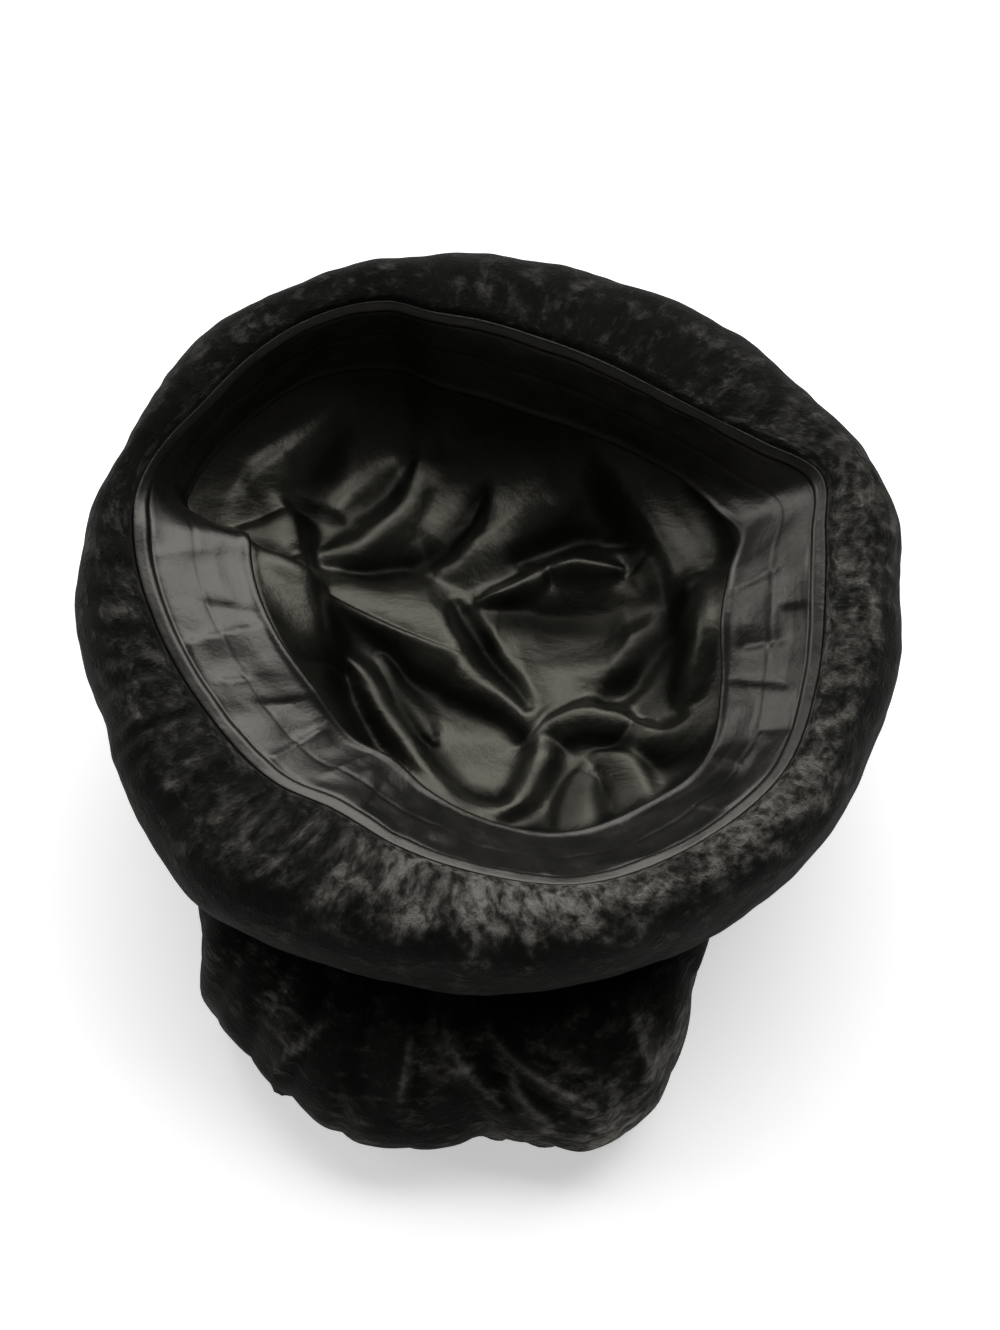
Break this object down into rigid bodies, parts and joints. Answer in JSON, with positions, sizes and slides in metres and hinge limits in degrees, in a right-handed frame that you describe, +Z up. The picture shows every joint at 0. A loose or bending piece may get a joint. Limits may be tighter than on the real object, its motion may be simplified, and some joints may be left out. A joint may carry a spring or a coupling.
{
  "type": "velvet hat",
  "caption": "Soft black velvet hat lying upside down: rolled cuff, gathered crown in two front puffs, satin sweatband and crumpled satin lining.",
  "frame": {"origin": "bottom centre of the hat's box, on the surface that it lies on", "axes": "+Z up through the head opening, +Y from the two front puffs to the back, +X to the right as seen from the front"},
  "size_m": [0.2356, 0.243, 0.1176],
  "materials": {
    "crushed_velvet": "crushed black velvet, soft pile that shows lighter where it is brushed",
    "black_satin": "black satin, soft gloss with warm grey highlights"
  },
  "bodies": {
    "root": {"velvet_cuff": "crushed_velvet", "velvet_crown": "crushed_velvet", "satin_sweatband": "black_satin", "satin_lining": "black_satin"}
  },
  "joints": []
}
